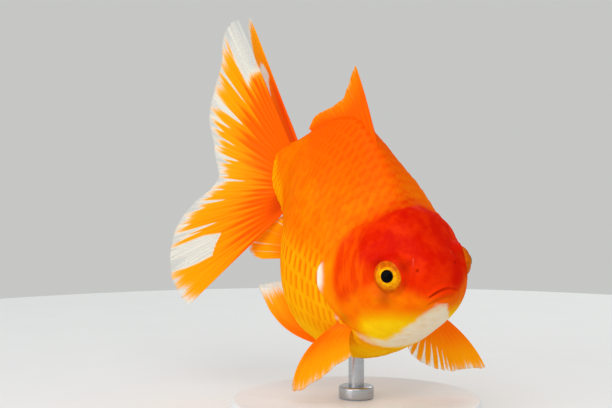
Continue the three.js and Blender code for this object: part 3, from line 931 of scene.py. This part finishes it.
PECTORAL_LEFT = {
    "root": [(16.8, 12.6, -18.5), (15, 11, -21.5)],
    "rays": [(0, 0.16, 0.64, -0.76), (0.25, 0.06, 0.43, -0.9), (0.5, 0.05, 0.32, -0.96),
             (1, -0.31, -0.27, -0.9)],
    "lengths": [(0, 24.3), (0.15, 21.2), (0.4, 19.2), (0.7, 15.3), (1, 9.5)],
    "bow": (0.06, 0.18, 0.16),
    "fade": 1.2,
}
PECTORAL_RIGHT = {
    "root": [(16.5, -13.5, -15), (19.5, -13.3, -15.5)],
    "rays": [(0, -0.32, -0.45, -0.85), (0.5, -0.24, -0.3, -0.93), (1, -0.02, 0, -1)],
    "lengths": [(0, 23.4), (0.06, 24.6), (0.15, 25.4), (0.28, 24.2),
                (0.45, 20.5), (0.58, 17), (0.75, 12.4), (1, 9)],
    "bow": (-0.26, -0.34, 0.19),
}
DORSAL = {
    "root": [(4.5, 0, 23.3), (-24, 0, 17.5)],
    "rays": [(0, -0.56, 0, 0.83), (0.5, -0.85, 0, 0.5), (1, -0.95, 0, 0.3)],
    "lengths": [(0, 21.6), (0.04, 20.2), (0.09, 17.9), (0.155, 15.8),
                (0.23, 13.3), (0.35, 11.8), (0.7, 8.2), (1, 1.6)],
    "bow": (0.1, 0, 0.07),
}
print("fans set")


# %% Rays that fork, and frayed margins
def ray_ridge(u, v, count):
    """1 on a ray and 0 on the skin between rays; each ray forks twice on its way out."""
    q = np.abs((u * count) % 1 - 0.5)
    first = 0.25 * rise(0.3, 0.62, v)
    second = 0.125 * rise(0.6, 0.9, v)
    away = np.abs(np.abs(q - first) - second)
    width = 0.2 - 0.13 * rise(0.2, 0.9, v)
    return hump(away, width)


def waves(seed, count):
    """A smooth random curve over 0 to 1, between about -1 and 1."""
    chance = np.random.default_rng(seed)
    knots = chance.uniform(-1, 1, count + 3)
    return lambda x: np.interp(np.clip(x, 0, 1) * count, np.arange(count + 3), knots)


def random_wedges(seed, count, first, last, earliest=0.55, widest=0.022):
    """Places for clear wedges: how far across the fan, how far out each starts, and how wide it ends."""
    chance = np.random.default_rng(seed)
    centres = np.linspace(first, last, count) + chance.uniform(-0.3, 0.3, count) * (last - first) / count
    return [(centre, chance.uniform(earliest, 0.9), widest * chance.uniform(0.35, 1)) for centre in centres]


def clear_wedges(u, v, wedges):
    """Clear skin between fingers of colour, from a point on the fin out to the margin."""
    clear = np.zeros(len(u))
    for centre, start, width in wedges:
        half = width * np.clip((v - start) / (1.02 - start), 0.001, 1)
        clear = np.maximum(clear, rise(1.5, 0.4, np.abs(u - centre) / half) * rise(start, start + 0.12, v))
    return clear


def make_blade(fin, thick):
    """Turns the sheet into a closed blade; thick is each vertex's share of the full thickness."""
    group = fin.vertex_groups.new(name="thick")
    for index, share in enumerate(thick.tolist()):
        group.add([index], share, "REPLACE")
    solid = fin.modifiers.new("Blade", "SOLIDIFY")
    solid.thickness = FIN_THICKNESS * MM
    solid.offset = 0
    solid.vertex_group = "thick"
    only(fin)
    bpy.ops.object.modifier_apply(modifier="Blade")
    fin.vertex_groups.clear()
    bpy.ops.object.shade_smooth()


def make_fin(node, fan, rays, columns, rows, seed, patches,
             fray=0.03, ripple=0.3, wedges=(), clearness=0.9):
    """The blade for one node; fray is a share of the rays' length, and ripple is in mm."""
    bpy.ops.mesh.primitive_grid_add(x_subdivisions=columns, y_subdivisions=rows, size=2)
    fin = bpy.context.active_object
    fin.data.uv_layers[0].name = "FinMap"
    flat = coords(fin)
    u, v = (flat[:, 0] + 1) / 2, (flat[:, 1] + 1) / 2
    shape = Fan(**fan)
    tips = ray_ridge(u, np.ones(len(u)), rays)  # the skin draws back between the rays' tips
    reach = 0.998 - fray * (0.35 * (1 - tips) + 0.5 + 0.5 * waves(seed + 3, 2 * rays)(u))
    sway = waves(seed + 1, 5)(u) * v**1.5 + 0.35 * waves(seed + 2, 11)(u) * v**2
    place = shape.at(u, v * reach) + shape.normal(u, v * reach) * (ripple * sway)[:, None]
    set_coords(fin, posed(place))
    ridge = ray_ridge(u, v, rays)
    pale, deep, dark = patches(u, v)
    pale = np.maximum(pale, clearness * clear_wedges(u, v, wedges))
    for name, values in (("ray", ridge), ("out", v), ("pale", pale), ("deep", deep), ("dark", dark)):
        set_values(fin, name, values)
    fleshy = rise(0.35, 0.0, v)
    make_blade(fin, np.clip((0.45 + 0.55 * ridge) * (1 - 0.6 * v) + 1.1 * fleshy, 0, 1))
    finish_piece(fin, f"{node}_rayed", fin_material, [node])


print("fins are", FIN_THICKNESS, "mm thick at the root")

# %% Fin colours
FIN_ORANGE, FIN_DEEP, FIN_DARK = paint(246, 118, 1), paint(244, 88, 1), paint(206, 58, 2)
FIN_YELLOW, FIN_BUFF, FIN_WHITE = paint(248, 154, 4), paint(246, 172, 66), paint(228, 226, 214)

fin_colours, wire, _, group_out = new_group(
    "Fin colours", [],
    [("Color", "NodeSocketColor"), ("Alpha", "NodeSocketFloat"), ("Height", "NodeSocketFloat")])
fin_map = wire.add("ShaderNodeUVMap", {"uv_map": "FinMap"}).outputs["UV"]
streaks = wire.stretched_noise(fin_map, (95, 1.6, 1), 0.6)
bands = wire.stretched_noise(fin_map, (26, 1.2, 1), 0.6)
ragged_out = wire.plus(wire.value("out"), wire.plus(wire.centred(streaks, 0.5), wire.centred(bands, 0.7)))
deep = wire.plus(wire.value("deep"), wire.centred(bands, 0.8))
pale = wire.plus(wire.plus(wire.value("pale"), wire.centred(streaks, 1.3)), wire.centred(bands, 0.5))
colour = wire.mix(wire.spread(ragged_out, 0.2, 0.9), FIN_ORANGE, FIN_YELLOW)
colour = wire.mix(wire.times(wire.spread(streaks, 0.45, 0.7), 0.45), colour, FIN_YELLOW)
colour = wire.mix(wire.spread(deep, 0.05, 0.85), colour, FIN_DEEP)
colour = wire.mix(wire.times(wire.value("ray"), 0.12), colour, FIN_YELLOW)
colour = wire.mix(wire.value("dark"), colour, FIN_DARK)
colour = wire.mix(wire.spread(pale, 0.15, 0.55), colour, FIN_BUFF)
colour = wire.mix(wire.spread(pale, 0.35, 0.85), colour, FIN_WHITE)
thin_margin = wire.times(wire.spread(pale, 0.4, 0.8), wire.spread(ragged_out, 0.9, 1.0, 0.0, 0.6))
alpha = wire.times(wire.spread(pale, 0.25, 1.35, 1.0, 0.22), wire.math("SUBTRACT", 1.0, thin_margin))
for output, value in (("Color", colour), ("Alpha", alpha), ("Height", streaks)):
    wire.feed(group_out.inputs[output], value)

# The fins glow faintly in their own colour: painted light that lifts the shade on them, as light coming
# through thin fins would.
fin_material, wire, shader = new_material(
    "Fin skin", Specular_IOR_Level=0.0, Coat_Weight=0.05, Coat_Roughness=0.2, Emission_Strength=0.12)
colours = use_group(wire, fin_colours)
for socket, output in (("Base Color", "Color"), ("Emission Color", "Color"), ("Alpha", "Alpha")):
    wire.feed(shader.inputs[socket], colours.outputs[output])
fine_surface(wire, shader, colours.outputs["Height"], (0.4, 0.55), strength=0.15, depth=0.0001)
print("fin material ready")


# %% Patches of colour on the fins: how pale, how deep an orange and how dark each place is
PATCH_TOP = [(0.5, 0.835), (0.56, 0.826), (0.7, 0.806), (0.88, 0.803), (1, 0.8)]
PATCH_FOOT = [
    (0.5, 0.8), (0.54, 0.828), (0.57, 0.85), (0.61, 0.88),
    (0.64, 0.908), (0.77, 0.902), (0.95, 0.884), (1, 0.88)]
TIP_PATCH = [(0.5, 0.16), (0.56, 0.152), (0.71, 0.135), (0.84, 0.128), (1, 0.105)]
FAR_FINGER = [(0.4, 0.3), (0.57, 0.05), (0.68, 0.075), (0.79, 0.15), (0.9, 0.2), (1, 0.21)]

# Each look gives how pale, how deep and how dark a place is; u runs from ray to ray, v out to the margin.
def tail_patches(u, v):
    """A clear tip along the first rays, a clear patch low down and a clear fringe; deep near the root."""
    tip = rise(0.014, -0.014, u - off_line(v, TIP_PATCH)) * rise(0.54, 0.68, v)
    lower = rise(-0.006, 0.008, u - off_line(v, PATCH_TOP)) * rise(0.006, -0.008, u - off_line(v, PATCH_FOOT))
    fringe = 0.8 * rise(0.8, 1.05, v + 0.05 * rise(0.3, 0.4, u) * rise(0.82, 0.7, u))
    uneven = v + 0.07 * np.sin(150 * u) + 0.06 * np.sin(67 * u)
    deep = np.maximum(rise(0.95, 0.3, uneven) * rise(0.6, 0.3, u), rise(0.6, 0.1, uneven))
    deep = deep * (0.4 + 0.6 * rise(0.66, 0.46, uneven))
    dark = 0.75 * hump(v - 0.06, 0.09) * rise(0.62, 0.74, u) * rise(0.97, 0.86, u)
    tip = tip * (1 + 0.45 * rise(0.09, 0.02, u))
    return np.maximum.reduce([0.95 * tip, 0.95 * lower, fringe]), deep, dark


def far_tail_patches(u, v):
    """The far half has a clear finger of its own beside the first rays."""
    pale, deep, dark = tail_patches(u, v)
    beside = rise(-0.012, 0.012, u - off_line(v, FAR_FINGER)) * rise(0.28, 0.2, u) * rise(0.54, 0.6, v)
    pale = np.where(u < 0.25, np.maximum(0.9 * beside, 0.85 * rise(0.86, 1.02, v)), pale)
    return pale, 0.75 * rise(0.85, 0.3, v) * rise(0.16, 0.05, u) + deep * rise(0.2, 0.3, u), dark


def pelvic_patches(u, v):
    return 0.85 * rise(0.7, 1.0, v), 0.5 * rise(0.6, 0.1, u) * rise(0.95, 0.4, v), 0 * u


def anal_patches(u, v):
    return 0.7 * rise(0.88, 1.0, np.maximum(u, v)), 0.55 * rise(0.8, 0.2, v), 0.35 * rise(0.4, 0.0, v)


def pectoral_patches(u, v):
    deep = (0.3 + 0.25 * rise(0.5, 0.1, u)) * rise(0.95, 0.3, v)
    return 0.5 * rise(0.8, 1.0, v), deep, 0.35 * rise(0.22, 0.0, v)


def dorsal_patches(u, v):
    return 0.28 * rise(0.9, 1.0, v), 0.5 + 0.45 * rise(1.0, 0.4, v), 0 * u


print("patches set")

# %% Make the fins
TAIL_GAPS = [(0.213, 0.58, 0.009), (0.298, 0.54, 0.024), (0.347, 0.66, 0.014)]
TAIL_GAPS += random_wedges(3, 17, 0.38, 0.79, 0.5, 0.016)
PELVIC_GAPS = random_wedges(5, 7, 0.1, 0.9, 0.6, 0.04)
ANAL_GAPS = [(0.17, 0.1, 0.014), (0.31, 0.1, 0.014), (0.49, 0.2, 0.014), (0.79, 0.1, 0.035)]
LEFT_PECTORAL_GAPS = [
    (0.3, 0.8, 0.014), (0.39, 0.68, 0.02), (0.47, 0.58, 0.024), (0.56, 0.5, 0.026),
    (0.65, 0.45, 0.028), (0.745, 0.42, 0.03), (0.84, 0.42, 0.03), (0.93, 0.45, 0.028)]
RIGHT_SEED = 40  # added on the right, so that no fin frays as its mirror does

# The fans are those of the left side: dict copies one as it is, mirrored turns it over to the right.
for side, facing, tail_look in (("left", dict, far_tail_patches), ("right", mirrored, tail_patches)):
    more = RIGHT_SEED if side == "right" else 0
    make_fin(f"tail_fin_{side}", facing(TAIL), rays=24, columns=400, rows=64, seed=11 + more,
             patches=tail_look, fray=0.012, ripple=0.7, wedges=TAIL_GAPS)
    make_fin(f"pelvic_fin_{side}", facing(PELVIC), rays=9, columns=110, rows=44, seed=12 + more,
             patches=pelvic_patches, ripple=0.4, wedges=PELVIC_GAPS)
    make_fin(f"anal_fin_{side}", facing(ANAL), rays=8, columns=96, rows=36, seed=13 + more,
             patches=anal_patches, wedges=ANAL_GAPS, clearness=0.55)
make_fin("pectoral_fin_left", PECTORAL_LEFT, rays=15, columns=180, rows=44, seed=14,
         patches=pectoral_patches, wedges=LEFT_PECTORAL_GAPS)
make_fin("pectoral_fin_right", PECTORAL_RIGHT, rays=15, columns=180, rows=44, seed=14 + RIGHT_SEED,
         patches=pectoral_patches)
make_fin("dorsal_fin", DORSAL, rays=16, columns=180, rows=40, seed=15,
         patches=dorsal_patches, fray=0.02, ripple=0.25)

# %% [markdown]
# ## The eyes
# A fish's eye is a ball with a flat iris and a round lens that stands out through the pupil. A flat picture
# of it would look dead, so a sphere is shaped ring by ring: the lens bulges, the iris lies in a shallow
# hollow, and one clear coat covers all of it.

# %% Eye material
IRIS_GOLD, DEEP_GOLD = paint(250, 184, 8), paint(232, 140, 4)
IRIS_BROWN, DEEP_BROWN = paint(226, 104, 4), paint(196, 84, 2)
IRIS_LINE, PUPIL = paint(204, 100, 2), paint(4, 4, 6)

eye_material, wire, shader = new_material(
    "Eye", Specular_IOR_Level=0.0, Coat_Weight=0.06, Coat_Roughness=0.03, Roughness=0.4)
ring = wire.value("ring")  # degrees from the middle of the pupil
radial = wire.spread(wire.noise(900, 2, wire.object_place(), 0.6), 0.35, 0.65)
gold = wire.mix(radial, IRIS_GOLD, DEEP_GOLD)
brown = wire.mix(radial, IRIS_BROWN, DEEP_BROWN)
outer = wire.math("MAXIMUM", wire.spread(ring, 42, 48), wire.spread(ring, 32, 39, 0.0, 0.6))
iris = wire.mix(wire.math("MAXIMUM", outer, wire.value("shaded")), gold, brown)
thin_line = wire.times(wire.spread(ring, 32, 34), wire.spread(ring, 36, 34))
iris = wire.mix(wire.times(thin_line, 0.5), iris, IRIS_LINE)
wire.feed(shader.inputs["Base Color"], wire.mix(wire.spread(ring, 21.5, 20.3), iris, PUPIL))
print("eye material ready")

# %% Eyes
IRIS_LOOK = {1: Vector((0.1, 0.99, 0.0)), -1: Vector((0.53, -0.78, 0.34))}  # each eye turns by itself
PUPIL_EDGE, IRIS_EDGE = 21.0, 45.0  # in degrees from the middle of the pupil
IRIS_HOLLOW, LENS_RISE = 0.22, 0.12
EYE_GAP = 0.05  # between the ball and the solid's surface


def make_eye(side):
    """A ball whose surface sinks at the iris and stands out over the pupil."""
    bpy.ops.mesh.primitive_uv_sphere_add(segments=72, ring_count=60, radius=1)
    eye = bpy.context.active_object
    ball = coords(eye)
    ring = np.degrees(np.arccos(np.clip(ball[:, 2], -1, 1)))
    outer_edge = rise(IRIS_EDGE + 5, IRIS_EDGE - 5, ring)
    hollow = IRIS_HOLLOW * rise(PUPIL_EDGE - 1, PUPIL_EDGE + 1, ring) * outer_edge
    lens = LENS_RISE * rise(PUPIL_EDGE, PUPIL_EDGE - 6, ring)
    radius = EYE_RADIUS - EYE_GAP - hollow + lens
    look = IRIS_LOOK[side].normalized()
    turn = np.array(Vector((0, 0, 1)).rotation_difference(look).to_matrix())
    above_pupil = (ball @ turn.T - np.array(look))[:, 2]
    set_coords(eye, posed(on_side(EYE_PLACE, side) + (ball * radius[:, None]) @ turn.T))
    set_values(eye, "ring", ring)
    set_values(eye, "shaded", 0.95 * rise(0.0, 0.34, above_pupil) * rise(27, 34, ring))
    outward(eye)
    bpy.ops.object.shade_smooth()
    name = "left" if side > 0 else "right"
    finish_piece(eye, f"eye_{name}_ball", eye_material, [f"eye_{name}"])


make_eye(1)
make_eye(-1)

# %% [markdown]
# ## The stand
# The stand is plain so that the fish is what one sees: a satin disc, a turned collar and a steel rod that
# goes on into the belly. Each is a cylinder with a bevel on its rims, which is how such turned parts are
# made.

# %% Stand materials
base_material, wire, shader = new_material("Satin white", Coat_Weight=0.1, Coat_Roughness=0.3)
place = wire.object_place()
cloudy = wire.spread(wire.noise(90, 3, place), 0.3, 0.7)
wire.feed(shader.inputs["Base Color"], wire.mix(cloudy, paint(236, 238, 240), paint(229, 232, 235)))
fine_surface(wire, shader, wire.noise(4200, 2, place), (0.42, 0.55), strength=0.12, depth=0.0001)

steel_material, wire, shader = new_material("Satin steel", Metallic=1.0)
lines = wire.stretched_noise(wire.object_place(), (120, 120, 9000))  # fine rings, as a lathe leaves them
wire.feed(shader.inputs["Base Color"], wire.mix(lines, paint(196, 199, 203), paint(170, 173, 178)))
fine_surface(wire, shader, lines, (0.22, 0.38), strength=0.2, depth=0.00005)
print("stand materials ready")

# %% Stand pieces
BASE_RADIUS, BASE_HEIGHT = 32, 6
COLLAR_RADIUS, COLLAR_TOP = 4.5, 9.3
ROD_RADIUS, ROD_TOP = 2, 20


def turned_piece(name, radius, low, high, bevel, material, node):
    """A cylinder between two heights, in mm, with its rims rounded off."""
    bpy.ops.mesh.primitive_cylinder_add(
        vertices=128, radius=radius * MM, depth=(high - low) * MM, location=(0, 0, (high + low) / 2 * MM))
    piece = bpy.context.active_object
    bpy.ops.object.transform_apply(location=True, rotation=False, scale=False)
    rims = piece.modifiers.new("Rims", "BEVEL")
    rims.width = bevel * MM
    rims.segments = 5
    rims.limit_method = "ANGLE"
    only(piece)
    bpy.ops.object.modifier_apply(modifier="Rims")
    bpy.ops.object.shade_smooth_by_angle(angle=math.radians(35))
    finish_piece(piece, name, material, [node])


turned_piece("stand_disc", BASE_RADIUS, 0, BASE_HEIGHT, 1.0,
             base_material, "stand_base")
turned_piece("stand_ferrule", COLLAR_RADIUS, BASE_HEIGHT, COLLAR_TOP, 0.6,
             steel_material, "stand_collar")
turned_piece("stand_pin", ROD_RADIUS, BASE_HEIGHT, ROD_TOP, 0.2,
             steel_material, "stand_rod")

# %% [markdown]
# ## Floor, light and camera
# A pale floor and a grey room, one large soft key light from the front and a fill from the other side. The
# camera looks at the fish from its front right, a little above it.

# %% Floor and room
FLOOR_RADIUS, FLOOR_DROP = 0.27, 0.0001  # the floor lies just under the stand

bpy.ops.mesh.primitive_circle_add(
    vertices=160, radius=FLOOR_RADIUS, fill_type="NGON", location=(0, 0, -FLOOR_DROP))
floor = bpy.context.active_object
floor.name = "floor"
floor_material, wire, shader = new_material("Pale floor", Roughness=0.6)
cloudy = wire.noise(60, 2, wire.object_place())
wire.feed(shader.inputs["Base Color"], wire.mix(cloudy, paint(240, 241, 241), paint(236, 238, 239)))
floor.data.materials.append(floor_material)

world = bpy.data.worlds.new("Grey room")
bpy.context.scene.world = world
world.use_nodes = True
world.node_tree.nodes["Background"].inputs["Color"].default_value = paint(198, 199, 197)
world.node_tree.nodes["Background"].inputs["Strength"].default_value = 1.0
bpy.context.scene.view_settings.view_transform = "Standard"
print("floor", 2 * FLOOR_RADIUS, "m across")

# %% Lights
FISH_MIDDLE = (0.0, 0.0, 0.05)


def soft_light(name, place, size, power):
    """A square lamp that faces the fish."""
    bpy.ops.object.light_add(type="AREA", location=place)
    light = bpy.context.active_object
    light.name = name
    light.data.size = size
    light.data.energy = power
    light.rotation_euler = (Vector(FISH_MIDDLE) - Vector(place)).to_track_quat("-Z", "Y").to_euler()
    print(name, power, "W")


soft_light("key", (0.42, -0.30, 0.52), 0.55, 2.1)
soft_light("fill", (0.10, -0.62, 0.22), 0.45, 1.3)
soft_light("rim", (-0.35, 0.45, 0.45), 0.3, 0.7)

# %% Camera
AZIMUTH, ELEVATION = math.radians(58), math.radians(4.5)
CAMERA_DISTANCE = 430
AIM_LEFT, AIM_UP = 14.2, 6  # from the fish's place to the middle of the view, in mm
toward = Vector((
    math.sin(AZIMUTH) * math.cos(ELEVATION),
    -math.cos(AZIMUTH) * math.cos(ELEVATION),
    math.sin(ELEVATION)))
sideways = Vector((math.cos(AZIMUTH), math.sin(AZIMUTH), 0))
upwards = sideways.cross(-toward)
aim = Vector(FISH_PLACE) - AIM_LEFT * sideways + AIM_UP * upwards
camera_place = (aim + CAMERA_DISTANCE * toward) * MM
camera_turn = Matrix((sideways, upwards, toward)).transposed().to_4x4()

camera_data = bpy.data.cameras.new("camera")
camera_data.lens = 100
camera_data.sensor_width = 36
camera_data.clip_start = 0.01
camera = bpy.data.objects.new("camera", camera_data)
bpy.context.scene.collection.objects.link(camera)
camera.matrix_world = Matrix.Translation(camera_place) @ camera_turn
bpy.context.scene.camera = camera
print("camera at", [round(c, 3) for c in camera_place])
